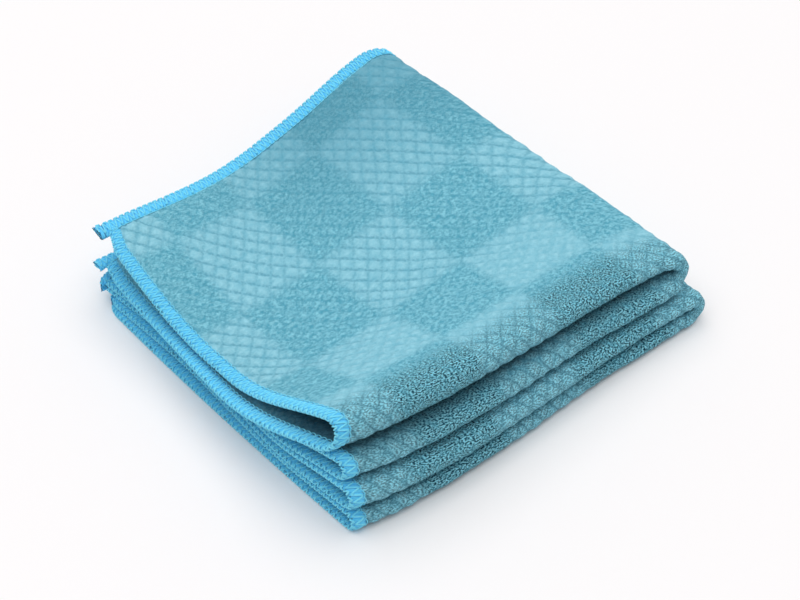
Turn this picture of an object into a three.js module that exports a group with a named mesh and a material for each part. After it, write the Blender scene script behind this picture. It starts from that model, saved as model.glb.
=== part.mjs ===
// Two microfibre cleaning towels, each folded in quarters and stacked, as they are put away.
// Each towel is one quilted cloth with an overlocked thread edging on its four sides. It is folded
// once along the front, then once along the right, so four layers show on the open left and back.
// A cloth is modelled as two halves that meet at its second fold, the crease that opens first.
import * as THREE from 'three';

// Towel, millimetres: its side once folded is half of its side lying open
const FOLDED_SIDE = 152;
const CLOTH_THICKNESS = 2.0;
const CLOTH_EDGE_THICKNESS = 0.7;
const PILE_RISE = 3;

// Overlocked edging: thread wrapped round the pressed edge of the cloth
const HEM_WIDTH = 5.2;
const HEM_WALL = 0.45;
const HEM_CLEARANCE = 0.2;
const HEM_END_GAP = 0.35;
const HEM_ROUNDING = 0.6;

// Air between layers: the least gap, and what is added where the fold stays open
const LAYER_GAP = 0.35;
const OPEN_AT_SECOND_FOLD_TOP = 2.05;
const OPEN_AT_SECOND_FOLD_BOTTOM = 1.8;
const SHUT_AT_RIGHT_FRONT = 0.5;
const SHUT_AT_RIGHT_BACK = 1.9;
const SHUT_AT_LEFT_FRONT = 0.5;
const SHUT_AT_LEFT_BACK = 0.0;
const FLARE_START = 11;
const FLARE_LENGTH = 62;
const CORNER_LIFT = 12;
const CORNER_LIFT_REACH = 75;

// How the stack is laid: the top towel sits back from the second fold of the bottom one
const TOP_TOWEL_SETBACK = 3;
const SKEW_RUN = 12;

// Each half, from the top of the stack. front, right to left, is how far its first fold sits back from
// the foremost point, and frontBow how far it bows forward again. flare is the air inside the fold at
// the open left end and slackOpen that further back. Ripples take up the slack lengths: those of the
// outer and of the inner layer run from front to back, and slackY from right to left.
const TOP_UPPER = {
  front: [11, 19], frontBow: 4.2, flare: 10, slackOpen: 1.5,
  outerSlack: [4.6, -0.3, 6], innerSlack: [4, -6.5, 4], slackY: [-5.5, 15],
};
const TOP_LOWER = {
  front: [5, 15], frontBow: 4.6, flare: 5.4, slackOpen: 0.9,
  outerSlack: [2, -1, 9], innerSlack: [2, -1, 9], slackY: [-5.5, 10],
};
const BOTTOM_UPPER = {
  front: [1.4, 11.5], frontBow: 5.0, flare: 5.6, slackOpen: 0.8,
  outerSlack: [-2.8, -4.8, -1.5], innerSlack: [-2.8, -4.8, -1.5], slackY: [0, 8],
};
const BOTTOM_LOWER = {
  front: [0.8, 10.7], frontBow: 3.8, flare: 4.2, slackOpen: 0.7,
  outerSlack: [-3.2, -4.2, -2], innerSlack: [-3.2, -4.2, -2], slackY: [0, 9.5],
};

// How far left of the second fold the first folds bow most, and where slackY is reached
const BOW_PEAK_AWAY = 114;
const SLACK_REACHED_AWAY = 135;

// Mesh steps, and the step over which the slope of the cloth is taken
const FLAT_STEPS = 7;
const FIRST_FOLD_STEPS = 5;
const SECOND_FOLD_STEPS = 5;
const SLOPE_STEP = 0.05;

// Colours
const CLOTH_COLOUR = 0x5fa3b3;
const EDGING_COLOUR = 0x35b2dc;

const HEM_THICKNESS = CLOTH_EDGE_THICKNESS + 2 * (HEM_CLEARANCE + HEM_WALL);
const LAYER_THICKNESS = Math.max(CLOTH_THICKNESS, HEM_THICKNESS);
const LAYER_PITCH = LAYER_THICKNESS + LAYER_GAP;
const HEM_POCKET = CLOTH_EDGE_THICKNESS + 2 * HEM_CLEARANCE;
const CLOTH_EDGE = FOLDED_SIDE - HEM_WALL - HEM_CLEARANCE;
const HEM_LIP = FOLDED_SIDE - HEM_WIDTH - HEM_END_GAP;
const QUARTER_TURN = Math.PI / 2;

const clamp = (value) => Math.min(1, Math.max(0, value));
const mix = (a, b, t) => a + (b - a) * t;
const ease = (t) => clamp(t) ** 2 * (3 - 2 * clamp(t));

// Parabola through three values at 0, one half and 1
const bow = ([start, middle, end], t) =>
  start * (1 - t) * (1 - 2 * t) + 4 * middle * t * (1 - t) + end * t * (2 * t - 1);

// Loops of the stack from the top: each is the first fold of one half
const STACK = [TOP_UPPER, TOP_LOWER, BOTTOM_UPPER, BOTTOM_LOWER];
const TOWELS = [
  { name: 'top', upper: 0, lower: 1, tipX: -TOP_TOWEL_SETBACK, cornerLift: CORNER_LIFT },
  { name: 'bottom', upper: 2, lower: 3, tipX: 0, cornerLift: 0 },
];
TOP_UPPER.foldOpen = OPEN_AT_SECOND_FOLD_TOP;
TOP_LOWER.foldOpen = OPEN_AT_SECOND_FOLD_TOP;
BOTTOM_UPPER.foldOpen = OPEN_AT_SECOND_FOLD_BOTTOM;
BOTTOM_LOWER.foldOpen = OPEN_AT_SECOND_FOLD_BOTTOM;

// Share of the way from the second fold, 0, to the open left end, 1
function across(x) {
  const bendRoom = TOP_TOWEL_SETBACK + 2 * LAYER_PITCH + OPEN_AT_SECOND_FOLD_TOP + SHUT_AT_RIGHT_BACK;
  return clamp((-x - bendRoom) / (FOLDED_SIDE - bendRoom));
}

// Spacing of the two layers inside one first fold
function openPitch(loop, x, y) {
  const flare = (loop.flare - loop.slackOpen) * (1 - ease((y - FLARE_START) / FLARE_LENGTH));
  const resting = loop.slackOpen * (1 - ease((2 * y) / FOLDED_SIDE - 1));
  return LAYER_PITCH + mix(loop.foldOpen, flare + resting, across(x));
}

// Spacing of two neighbouring layers of different folds
function shutPitch(x, y) {
  const along = y / FOLDED_SIDE;
  const right = mix(SHUT_AT_RIGHT_FRONT, SHUT_AT_RIGHT_BACK, along);
  const left = mix(SHUT_AT_LEFT_FRONT, SHUT_AT_LEFT_BACK, clamp(along));
  return LAYER_PITCH + mix(right, left, across(x));
}

// Height of the middle of each loop over a point of the floor
function loopHeights(x, y) {
  const heights = [];
  let layer = LAYER_THICKNESS / 2;
  for (let index = STACK.length - 1; index >= 0; index -= 1) {
    const open = openPitch(STACK[index], x, y);
    heights[index] = layer + open / 2;
    layer += open + shutPitch(x, y);
  }
  return heights;
}

// How far the first folds bow forward on their way left, 1 where that is most
function bowShare(away) {
  const bowed = (distance) => distance ** 3 * (FOLDED_SIDE - distance);
  return bowed(away) / bowed(BOW_PEAK_AWAY);
}

// How far the first fold of a half sits back from the foremost point
function setBack(loop, away) {
  return mix(...loop.front, away / FOLDED_SIDE) - loop.frontBow * bowShare(away);
}

// One half of a folded towel: away is the distance along the cloth from the second fold,
// along is the distance from the first fold, positive on the outer layer.
function midPoint(towel, isUpper, away, along) {
  const own = STACK[isUpper ? towel.upper : towel.lower];
  const other = STACK[isUpper ? towel.lower : towel.upper];
  const side = isUpper ? 1 : -1;

  // First fold: a half turn at the front
  const sharedSetBack = (own.front[0] + other.front[0]) / 2;
  const front = mix(sharedSetBack, setBack(own, away), ease(away / SKEW_RUN));
  const frontX = towel.tipX - away;
  const foldRadius = openPitch(own, frontX, front) / 2;
  const foldLength = QUARTER_TURN * foldRadius;
  const run = Math.abs(along);
  const slackY = mix(...own.slackY, ease(away / SLACK_REACHED_AWAY)) - own.frontBow * bowShare(away);
  const turn = Math.min(run / foldRadius, QUARTER_TURN) * Math.sign(along);
  const foldY = front + LAYER_THICKNESS / 2 + foldRadius;
  const y = run < foldLength
    ? foldY - foldRadius * Math.cos(turn)
    : foldY + (run - foldLength) * (1 - slackY / FOLDED_SIDE);
  const outward = Math.sin(turn);

  // Second fold: a quarter turn of this half at the right
  const bendHeights = loopHeights(towel.tipX, y);
  const bendRadius = (bendHeights[towel.upper] - bendHeights[towel.lower] - LAYER_GAP) / 2;
  const bendOpen = openPitch(own, towel.tipX, y) / 2;
  const bendX = towel.tipX - LAYER_THICKNESS / 2 - bendOpen - bendRadius;
  const bendLength = QUARTER_TURN * bendRadius;
  const bend = Math.min(away / bendRadius, QUARTER_TURN);
  const backShare = clamp(y / FOLDED_SIDE);
  const slackX = mix(bow(own.innerSlack, backShare), bow(own.outerSlack, backShare), (1 + outward) / 2);
  const flatX = bendX - Math.max(0, away - bendLength) * (1 - slackX / FOLDED_SIDE);

  const heightX = away < bendLength ? towel.tipX : flatX;
  const heights = loopHeights(heightX, y);
  const middle = (heights[towel.upper] + heights[towel.lower]) / 2;
  const reach = (heights[towel.upper] - heights[towel.lower] - LAYER_GAP) / 2;
  const offset = outward * openPitch(own, heightX, y) / 2;
  const x = away < bendLength ? bendX + Math.cos(bend) * (bendRadius + offset) : flatX;
  let z = middle + side * (LAYER_GAP / 2 + Math.sin(bend) * (reach + offset));
  if (isUpper && along > 0) {
    const fromLeft = (FOLDED_SIDE - away) / CORNER_LIFT_REACH;
    const fromBack = (FOLDED_SIDE - run) / CORNER_LIFT_REACH;
    z += towel.cornerLift * (1 - ease(fromLeft)) * (1 - ease(fromBack));
  }
  return new THREE.Vector3(x, y, z);
}

// Point at a distance from the middle surface, towards the outside of the folded towel
function clothPoint(towel, isUpper, away, along, distance) {
  const point = midPoint(towel, isUpper, away, along);
  const awayFrom = Math.max(0, away - SLOPE_STEP);
  const alongAway = midPoint(towel, isUpper, away + SLOPE_STEP, along)
    .sub(midPoint(towel, isUpper, awayFrom, along));
  const alongEdge = midPoint(towel, isUpper, away, along + SLOPE_STEP)
    .sub(midPoint(towel, isUpper, away, along - SLOPE_STEP));
  const normal = new THREE.Vector3().crossVectors(alongEdge, alongAway).normalize();
  return point.addScaledVector(normal, isUpper ? distance : -distance);
}

// Steps across a half: the bend, then the flat run up to the edging, then the given end
function awayStations(end) {
  const bendEnd = QUARTER_TURN * (LAYER_PITCH + OPEN_AT_SECOND_FOLD_TOP / 2 + SHUT_AT_RIGHT_BACK / 2);
  const stations = [];
  for (let step = 0; step < SECOND_FOLD_STEPS; step += 1) {
    stations.push((bendEnd * step) / SECOND_FOLD_STEPS);
  }
  for (let step = 0; step <= FLAT_STEPS; step += 1) {
    stations.push(mix(bendEnd, HEM_LIP - PILE_RISE, step / FLAT_STEPS));
  }
  return [...stations, HEM_LIP, end];
}

// Steps along one half up to the edging: back of the inner layer, round the first fold, to the outer one
function alongStations(towel, isUpper, away) {
  const own = STACK[isUpper ? towel.upper : towel.lower];
  const foldLength = QUARTER_TURN * openPitch(own, towel.tipX - away, setBack(own, away)) / 2;
  const outer = [];
  for (let step = 1; step <= FIRST_FOLD_STEPS; step += 1) {
    outer.push((foldLength * step) / FIRST_FOLD_STEPS);
  }
  for (let step = 1; step <= FLAT_STEPS; step += 1) {
    outer.push(mix(foldLength, HEM_LIP - PILE_RISE, step / FLAT_STEPS));
  }
  outer.push(HEM_LIP);
  return [...outer.map((value) => -value).reverse(), 0, ...outer];
}

// Closed solid from rings of points, each ring joined to the next, with both ends capped
function solidFromRings(rings, cap) {
  const points = rings.flat();
  const size = rings[0].length;
  const faces = [];
  for (let ring = 0; ring + 1 < rings.length; ring += 1) {
    for (let index = 0; index < size; index += 1) {
      const next = (index + 1) % size;
      const a = ring * size + index;
      const b = ring * size + next;
      faces.push([a, b, a + size], [b, b + size, a + size]);
    }
  }
  const last = (rings.length - 1) * size;
  for (const [a, b, c] of cap) {
    faces.push([a, c, b], [last + a, last + b, last + c]);
  }
  let volume = 0;
  for (const [a, b, c] of faces) {
    volume += points[a].dot(new THREE.Vector3().crossVectors(points[b], points[c]));
  }
  const outward = volume > 0 ? faces : faces.map(([a, b, c]) => [a, c, b]);
  const geometry = new THREE.BufferGeometry();
  const coordinates = points.flatMap((point) => point.toArray());
  geometry.setAttribute('position', new THREE.Float32BufferAttribute(coordinates, 3));
  geometry.setIndex(outward.flat());
  geometry.computeVertexNormals();
  return geometry;
}

// Half thickness of the cloth: pressed inside the edging, full beyond it
function clothHalfThickness(away, along) {
  const fromEdge = Math.min(FOLDED_SIDE - away, FOLDED_SIDE - Math.abs(along));
  const rise = clamp((fromEdge - (FOLDED_SIDE - HEM_LIP)) / PILE_RISE);
  return mix(CLOTH_EDGE_THICKNESS, CLOTH_THICKNESS, rise) / 2;
}

// Cloth of one half, as rings that run along its outer face and back along its inner face
function clothGeometry(towel, isUpper) {
  const rings = awayStations(CLOTH_EDGE).map((away) => {
    const stations = [-CLOTH_EDGE, ...alongStations(towel, isUpper, away), CLOTH_EDGE];
    const face = (side) => stations.map((along) =>
      clothPoint(towel, isUpper, away, along, side * clothHalfThickness(away, along)));
    return [...face(1), ...face(-1).reverse()];
  });
  const size = rings[0].length;
  const cap = [];
  for (let index = 0; index + 1 < size / 2; index += 1) {
    const opposite = size - 1 - index;
    cap.push([index, index + 1, opposite], [index + 1, opposite - 1, opposite]);
  }
  return solidFromRings(rings, cap);
}

// Section of the edging, as distance in from the towel's edge and distance from the middle surface
function hemSection() {
  const thick = HEM_THICKNESS / 2;
  const pocket = HEM_POCKET / 2;
  const nose = thick - HEM_ROUNDING;
  return [
    [HEM_WIDTH, -pocket], [HEM_WALL, -pocket], [HEM_WALL, pocket], [HEM_WIDTH, pocket],
    [HEM_WIDTH, thick], [HEM_ROUNDING, thick], [0, nose],
    [0, -nose], [HEM_ROUNDING, -thick], [HEM_WIDTH, -thick],
  ];
}

function hemCap() {
  const outline = hemSection().map(([inward, offset]) => new THREE.Vector2(inward, offset));
  return THREE.ShapeUtils.triangulateShape(outline, []);
}

// Edging of the left edge: it runs along the inner layer, round the first fold and along the outer one
function leftHemGeometry(towel, isUpper) {
  const lanes = hemSection().map(([inward, offset]) => {
    const away = FOLDED_SIDE - inward;
    return alongStations(towel, isUpper, away).map((along) =>
      clothPoint(towel, isUpper, away, along, offset));
  });
  const rings = lanes[0].map((_, station) => lanes.map((lane) => lane[station]));
  return solidFromRings(rings, hemCap());
}

// Edging of a back edge, from the second fold to the corner
function backHemGeometry(towel, isUpper, layerSide) {
  const section = hemSection();
  const rings = awayStations(FOLDED_SIDE).map((away) => section.map(([inward, offset]) =>
    clothPoint(towel, isUpper, away, layerSide * (FOLDED_SIDE - inward), offset)));
  return solidFromRings(rings, hemCap());
}

function piece(name, geometry, colour) {
  const material = new THREE.MeshStandardMaterial({ color: colour, roughness: 0.9, metalness: 0 });
  const mesh = new THREE.Mesh(geometry, material);
  mesh.name = name;
  return mesh;
}

// The stack, with its origin under the middle of its box
const stack = new THREE.Group();
for (const towel of TOWELS) {
  for (const half of ['upper', 'lower']) {
    const isUpper = half === 'upper';
    const name = `${towel.name}_${half}`;
    stack.add(piece(`${name}_cloth`, clothGeometry(towel, isUpper), CLOTH_COLOUR));
    stack.add(piece(`${name}_left_edging`, leftHemGeometry(towel, isUpper), EDGING_COLOUR));
    stack.add(piece(`${name}_outer_back_edging`, backHemGeometry(towel, isUpper, 1), EDGING_COLOUR));
    stack.add(piece(`${name}_inner_back_edging`, backHemGeometry(towel, isUpper, -1), EDGING_COLOUR));
  }
}
const box = new THREE.Box3().setFromObject(stack);
const centre = box.getCenter(new THREE.Vector3());
stack.position.set(-centre.x, -centre.y, -box.min.z);

export default stack;
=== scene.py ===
"""Two quilted microfibre towels, folded in quarters and stacked, dressed for a studio picture.

Every piece is first made on the towel lying open: s runs across the second fold, v across the
first fold, and n away from the middle of the cloth. One map then folds all of them alike.
"""
import math
import bpy
import numpy as np
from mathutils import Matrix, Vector


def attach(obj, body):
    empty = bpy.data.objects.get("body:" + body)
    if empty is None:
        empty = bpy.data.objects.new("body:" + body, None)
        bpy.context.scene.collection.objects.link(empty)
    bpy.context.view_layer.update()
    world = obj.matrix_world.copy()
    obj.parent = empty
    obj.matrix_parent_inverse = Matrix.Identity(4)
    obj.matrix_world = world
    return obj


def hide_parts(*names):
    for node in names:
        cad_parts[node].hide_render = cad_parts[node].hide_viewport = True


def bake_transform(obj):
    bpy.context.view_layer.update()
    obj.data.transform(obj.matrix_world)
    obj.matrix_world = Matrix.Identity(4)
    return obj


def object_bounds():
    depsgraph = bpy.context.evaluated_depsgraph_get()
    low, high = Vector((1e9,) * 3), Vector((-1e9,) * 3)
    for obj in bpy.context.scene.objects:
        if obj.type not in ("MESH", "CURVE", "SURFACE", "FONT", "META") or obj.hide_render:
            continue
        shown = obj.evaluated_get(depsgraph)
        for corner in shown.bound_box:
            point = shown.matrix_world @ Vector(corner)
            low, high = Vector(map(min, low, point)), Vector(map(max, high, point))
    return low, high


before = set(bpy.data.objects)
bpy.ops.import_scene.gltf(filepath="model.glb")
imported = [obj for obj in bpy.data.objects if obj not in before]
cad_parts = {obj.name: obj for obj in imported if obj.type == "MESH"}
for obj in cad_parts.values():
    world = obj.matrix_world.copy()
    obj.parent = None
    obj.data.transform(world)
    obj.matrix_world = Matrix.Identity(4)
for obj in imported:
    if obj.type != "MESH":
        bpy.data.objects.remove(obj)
cad_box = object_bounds()

# Towel lying open, millimetres
MM = 0.001
HALF_SIDE = 152.0
LAYER_THICKNESS = 2.0
LAYER_GAP = 0.35
LAYER_PITCH = LAYER_THICKNESS + LAYER_GAP
CLOTH_EDGE_THICKNESS = 0.7
CLOTH_EDGE_INSET = 0.65
CLOTH_EDGE = HALF_SIDE - CLOTH_EDGE_INSET
HEM_WIDTH = 5.2
PILE_RISE = 3.0
UNDER_HEM = 1.2
QUARTER_TURN = math.pi / 2

# Air between the layers, the lifted corner, and how the towels are set askew
OPEN_AT_SECOND_FOLD = {"top": 2.05, "bottom": 1.8}
SHUT_AT_RIGHT = (0.5, 1.9)
SHUT_AT_LEFT = (0.5, 0.0)
FLARE_START = 11.0
FLARE_LENGTH = 62.0
CORNER_LIFT = 12.0
CORNER_LIFT_REACH = 75.0
TOP_TOWEL_SETBACK = 3.0
SKEW_RUN = 12.0

# Each half of each towel, from the top down: where its first fold lies at the right and at the left,
# how far that bows forward, and how far the fold stays open at its front and behind. The slacks are
# lengths that ripples take up: sideways, in each layer, at the front, midway and at the back, and
# lengthways at the right and at the left.
HALVES = [
    dict(front=(11, 19), front_bow=4.2, flare=10, slack_open=1.5,
         outer_slack=(4.6, -0.3, 6), inner_slack=(4, -6.5, 4), slack_y=(-5.5, 15)),
    dict(front=(5, 15), front_bow=4.6, flare=5.4, slack_open=0.9,
         outer_slack=(2, -1, 9), inner_slack=(2, -1, 9), slack_y=(-5.5, 10)),
    dict(front=(1.4, 11.5), front_bow=5.0, flare=5.6, slack_open=0.8,
         outer_slack=(-2.8, -4.8, -1.5), inner_slack=(-2.8, -4.8, -1.5), slack_y=(0, 8)),
    dict(front=(0.8, 10.7), front_bow=3.8, flare=4.2, slack_open=0.7,
         outer_slack=(-3.2, -4.2, -2), inner_slack=(-3.2, -4.2, -2), slack_y=(0, 9.5)),
]
BOW_PEAK_AWAY = 114.0
SLACK_REACHED_AWAY = 135.0
TOWELS = {
    "top": dict(upper=0, lower=1, tip_x=-TOP_TOWEL_SETBACK),
    "bottom": dict(upper=2, lower=3, tip_x=0.0),
}
for towel_name, towel in TOWELS.items():
    for half_name in ("upper", "lower"):
        HALVES[towel[half_name]]["fold_open"] = OPEN_AT_SECOND_FOLD[towel_name]

# Pattern of the cloth: squares of smooth quilting and of looped pile, and the diagonal quilting lines.
# The cloth is drawn out toward the back and the right, and gathered behind the first fold.
SQUARE_S = 36.3
SQUARE_V = 35.6
SQUARE_START_S = 21.0
SQUARE_START_V = 11.2
SQUARE_SOFTNESS = 2.0
QUILT_CELL = 4.86
DRAWN_S = 0.87
DRAWN_S_EASING = 0.000925
DRAWN_V = 0.82
GATHERED_LENGTH = 12.2
GATHERED_AT = 33.0
GATHERED_RUN = 22.2

# Relief of the cloth: puffs between the quilting lines, lumps of pile and slow ripples
PUFF_RUN = 0.36 * QUILT_CELL
QUILTED_PUFF = 0.4
QUILTED_SINK = 0.3
QUILTED_LUMPS = 0.4
LOOPED_PUFF = 0.12
LOOPED_SINK = 0.1
LARGE_LUMPS = dict(height=0.1, size=3.1, seed=5)
SMALL_LUMPS = dict(height=0.08, size=1.3, seed=6)
LARGE_RIPPLES = dict(height=0.35, size=23.0, seed=11)
SMALL_RIPPLES = dict(height=0.2, size=9.0, seed=12)
NOISE_TABLE = 128

# Grid of the cloth: the inner face has every third line of the outer one
FINE_PER_COARSE = 3
SHOWN_STEP = 0.75
COVERED_STEP = 1.3
UNDER_STEP = 1.8
UNDER_FOLD_STEP = 0.8
UNDER_FOLD_REACH = 20.0
SHOWN_PAST_FOLD = 12.0

# Threads of the overlocked edging, and how uneven their stitches are
STITCH_PITCH = 2.4
STITCH_SEED = 21
WRAPS_PER_STITCH = 2
COIL_HALF_WIDTH = 0.68
COIL_HALF_HEIGHT = 0.3
COIL_SUNK = 0.7 * COIL_HALF_HEIGHT
COIL_SLANT = 0.9
COIL_INSET = 0.6
COIL_UNEVEN_ALONG = 0.15
COIL_UNEVEN_ACROSS = 0.12
COIL_STEPS = 14
COIL_SIDES = 6
LOOPER_RADIUS = 0.3
LOOPER_RISE = 0.72
LOOPER_INSET = 0.05
LOOPER_REACH = 0.9
LOOPER_UNEVEN = 0.2
LOOPER_STEPS = 12
LOOPER_SIDES = 5
ZIGZAG_RADIUS = 0.26
ZIGZAG_INSET = 0.8
ZIGZAG_SINK = 0.8
ZIGZAG_UNEVEN = 0.4
ZIGZAG_SIDES = 5
NEEDLE_RADIUS = 0.17
NEEDLE_INSET = 0.8
NEEDLE_RISE = 0.55
NEEDLE_ARCH_ACROSS = 0.35
NEEDLE_ARCH_RISE = 0.25
NEEDLE_FROM_END = 8.0
NEEDLE_SIDES = 4
CORE_HALF_HEIGHT = 0.44
CORE_INSET = 0.6
CORE_STEP = 1.5
CORE_SIDES = 14
CORE_UV_SHIFT = 100.0
COIL_UV_SHIFT = 30.0

# Edges and corners of the towels. Pairs are for the upper and the lower half.
LEFT_EDGING_TUCKED = 1.0
LEFT_EDGING_LENGTH = 2 * (HALF_SIDE - HEM_WIDTH + LEFT_EDGING_TUCKED)
TAILS = {"top": (4.0, 0.0), "bottom": (0.0, 0.0)}
TAIL_TAPER = 11.0
TAIL_WIDTH_SHARE = 1.4
CORNER_RADIUS = {"top": (2.0, 2.0), "bottom": (7.0, 14.0)}
OUTER_CORNER_INSET = 2.6
INNER_CORNER_INSET = 1.0
CORNER_INSET_START = 135.0
CORNER_INSET_RUN = 12.0
OUTER_DRAWN_IN = {"top": (0.0, 7.0), "bottom": (6.5, 0.0)}
INNER_DRAWN_IN = {"top": (2.8, 7.0), "bottom": (6.0, 3.0)}
DRAWN_IN_MOST = 100.0
DRAWN_IN_REACH = 75.0
INSET_CLOTH_RUN = 22.0
BACK_DRAWN_IN = 1.6
BACK_DRAWN_IN_MOST = 52.0
BACK_DRAWN_IN_REACH = 40.0
FULL_EDGING_WIDTH = 1.28
FULL_EDGING_HEIGHT = 1.35
FULL_EDGING_START = 20.0

# Places on the baked sheets
OUTER_FACE_SHARE = np.array([0.66, 1.0])
INNER_FACE_SHARE = 0.32
INNER_FACE_CORNER = (0.67, 0.34)
BAKE_ROW = 90.0
BAKE_SHEET_WIDTH = 1.02 * BAKE_ROW
BAKE_GAP = 0.4

# Steps and samples that the folding takes
NORMAL_STEP = 0.05
SHORTEST_NORMAL = 1e-9
BACK_SAMPLES = 200


def mix(a, b, t):
    return a + (b - a) * t


def ease(t):
    t = np.clip(t, 0, 1)
    return t * t * (3 - 2 * t)


def bow(values, t):
    """Curve through three values: at the start, midway and at the end."""
    start, middle, end = values
    return start * (1 - t) * (1 - 2 * t) + 4 * middle * t * (1 - t) + end * t * (2 * t - 1)


def value_noise(x, y, seed):
    """Smooth noise from -1 to 1 with one swing about every unit."""
    table = np.random.default_rng(seed).random((NOISE_TABLE, NOISE_TABLE)) * 2 - 1
    left = np.floor(x).astype(int)
    low = np.floor(y).astype(int)
    share_x = ease(x - left)
    share_y = ease(y - low)

    def row(y_index):
        ahead = table[(left + 1) % NOISE_TABLE, y_index % NOISE_TABLE]
        return mix(table[left % NOISE_TABLE, y_index % NOISE_TABLE], ahead, share_x)

    return mix(row(low), row(low + 1), share_y)


def unevenness(s, v, height, size, seed):
    return height * value_noise(s / size, v / size, seed)


# The folded stack
def across(x):
    """Share of the way left from the bend of the second fold."""
    bend_room = TOP_TOWEL_SETBACK + 2 * LAYER_PITCH + OPEN_AT_SECOND_FOLD["top"] + SHUT_AT_RIGHT[1]
    return np.clip((-x - bend_room) / (HALF_SIDE - bend_room), 0, 1)


def open_pitch(half, x, y):
    """Distance between the two layers of one half, which its first fold joins."""
    flare = (half["flare"] - half["slack_open"]) * (1 - ease((y - FLARE_START) / FLARE_LENGTH))
    resting = half["slack_open"] * (1 - ease(2 * y / HALF_SIDE - 1))
    return LAYER_PITCH + mix(half["fold_open"], flare + resting, across(x))


def shut_pitch(x, y):
    """Distance between two layers of which one lies on the other."""
    along = y / HALF_SIDE
    right = mix(SHUT_AT_RIGHT[0], SHUT_AT_RIGHT[1], along)
    left = mix(SHUT_AT_LEFT[0], SHUT_AT_LEFT[1], np.clip(along, 0, 1))
    return LAYER_PITCH + mix(right, left, across(x))


def loop_heights(x, y):
    """Height of each half, midway between its two layers."""
    heights = [None] * len(HALVES)
    layer = LAYER_THICKNESS / 2
    for index in reversed(range(len(HALVES))):
        spacing = open_pitch(HALVES[index], x, y)
        heights[index] = layer + spacing / 2
        layer = layer + spacing + shut_pitch(x, y)
    return heights


def front_bow(away):
    """How the first folds bow forward on their way left, 1 where that is most."""
    most = BOW_PEAK_AWAY ** 3 * (HALF_SIDE - BOW_PEAK_AWAY)
    return away ** 3 * (HALF_SIDE - away) / most


def half_point(towel, is_upper, away, along):
    """Middle surface of one half, in the stack's own millimetres from its foremost right corner."""
    own = HALVES[towel["upper"] if is_upper else towel["lower"]]
    other = HALVES[towel["lower"] if is_upper else towel["upper"]]
    tip_x = towel["tip_x"]

    # First fold: round at the front, then flat toward the back
    forward = own["front_bow"] * front_bow(away)
    set_back = mix(*own["front"], away / HALF_SIDE) - forward
    shared = (own["front"][0] + other["front"][0]) / 2
    front = mix(shared, set_back, ease(away / SKEW_RUN))
    radius = open_pitch(own, tip_x - away, front) / 2
    length = QUARTER_TURN * radius
    run = np.abs(along)
    slack_y = mix(*own["slack_y"], ease(away / SLACK_REACHED_AWAY)) - forward
    turn = np.minimum(run / radius, QUARTER_TURN) * np.sign(along)
    fold_y = front + LAYER_THICKNESS / 2 + radius
    flat_y = fold_y + (run - length) * (1 - slack_y / HALF_SIDE)
    y = np.where(run < length, fold_y - radius * np.cos(turn), flat_y)

    # Second fold: a quarter turn at the right, then flat toward the left
    at_bend = loop_heights(np.full_like(y, tip_x), y)
    bend_radius = (at_bend[towel["upper"]] - at_bend[towel["lower"]] - LAYER_GAP) / 2
    bend_open = open_pitch(own, np.full_like(y, tip_x), y) / 2
    bend_x = tip_x - LAYER_THICKNESS / 2 - bend_open - bend_radius
    bend_length = QUARTER_TURN * bend_radius
    bend = np.clip(away / bend_radius, 0, QUARTER_TURN)
    back_share = np.clip(y / HALF_SIDE, 0, 1)
    outward = (1 + np.sin(turn)) / 2
    slack_x = mix(bow(own["inner_slack"], back_share), bow(own["outer_slack"], back_share), outward)
    flat_x = bend_x - np.maximum(0, away - bend_length) * (1 - slack_x / HALF_SIDE)

    # Heights in the stack, with the lifted corner of the uppermost layer
    in_bend = away < bend_length
    height_x = np.where(in_bend, tip_x, flat_x)
    heights = loop_heights(height_x, y)
    middle = (heights[towel["upper"]] + heights[towel["lower"]]) / 2
    reach = (heights[towel["upper"]] - heights[towel["lower"]] - LAYER_GAP) / 2
    offset = np.sin(turn) * open_pitch(own, height_x, y) / 2
    x = np.where(in_bend, bend_x + np.cos(bend) * (bend_radius + offset), flat_x)
    rise = LAYER_GAP / 2 + np.sin(bend) * (reach + offset)
    z = middle + rise if is_upper else middle - rise
    if is_upper and towel is TOWELS["top"]:
        from_left = 1 - ease((HALF_SIDE - away) / CORNER_LIFT_REACH)
        from_back = 1 - ease((HALF_SIDE - run) / CORNER_LIFT_REACH)
        z = z + np.where(along > 0, CORNER_LIFT * from_left * from_back, 0)
    return np.stack([x, y, z], -1)


def middle_point(towel, s, v):
    """Folded place of the middle of the cloth, with the short upright run between its two halves."""
    away = np.maximum(0, np.abs(s) - LAYER_GAP / 2)
    upper = half_point(towel, True, away, v)
    lower = half_point(towel, False, away, v)
    point = np.where((s >= 0)[:, None], upper, lower)
    upright = np.abs(s) < LAYER_GAP / 2
    crease = (upper + lower) / 2
    crease[:, 2] += s
    return np.where(upright[:, None], crease, point)


def folded(towel, flat):
    """Folds points given as s, v, n on the open towel, and puts them in the frame, in metres."""
    s, v, n = flat[:, 0], flat[:, 1], flat[:, 2]
    step = NORMAL_STEP
    along_s = middle_point(towel, s + step, v) - middle_point(towel, s - step, v)
    along_v = middle_point(towel, s, v + step) - middle_point(towel, s, v - step)
    normal = np.cross(along_v, along_s)
    normal /= np.maximum(np.linalg.norm(normal, axis=1, keepdims=True), SHORTEST_NORMAL)
    return (middle_point(towel, s, v) + normal * n[:, None] + STACK_ORIGIN) * MM


def stack_origin():
    """Where the stack's own corner lies in the frame: the box of the solids gives it."""
    reach = np.linspace(0, HALF_SIDE, BACK_SAMPLES)
    back = half_point(TOWELS["top"], True, reach, np.full_like(reach, HALF_SIDE))
    return np.array([cad_box[1].x / MM, cad_box[1].y / MM - back[:, 1].max(), 0.0])


STACK_ORIGIN = stack_origin()


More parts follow.
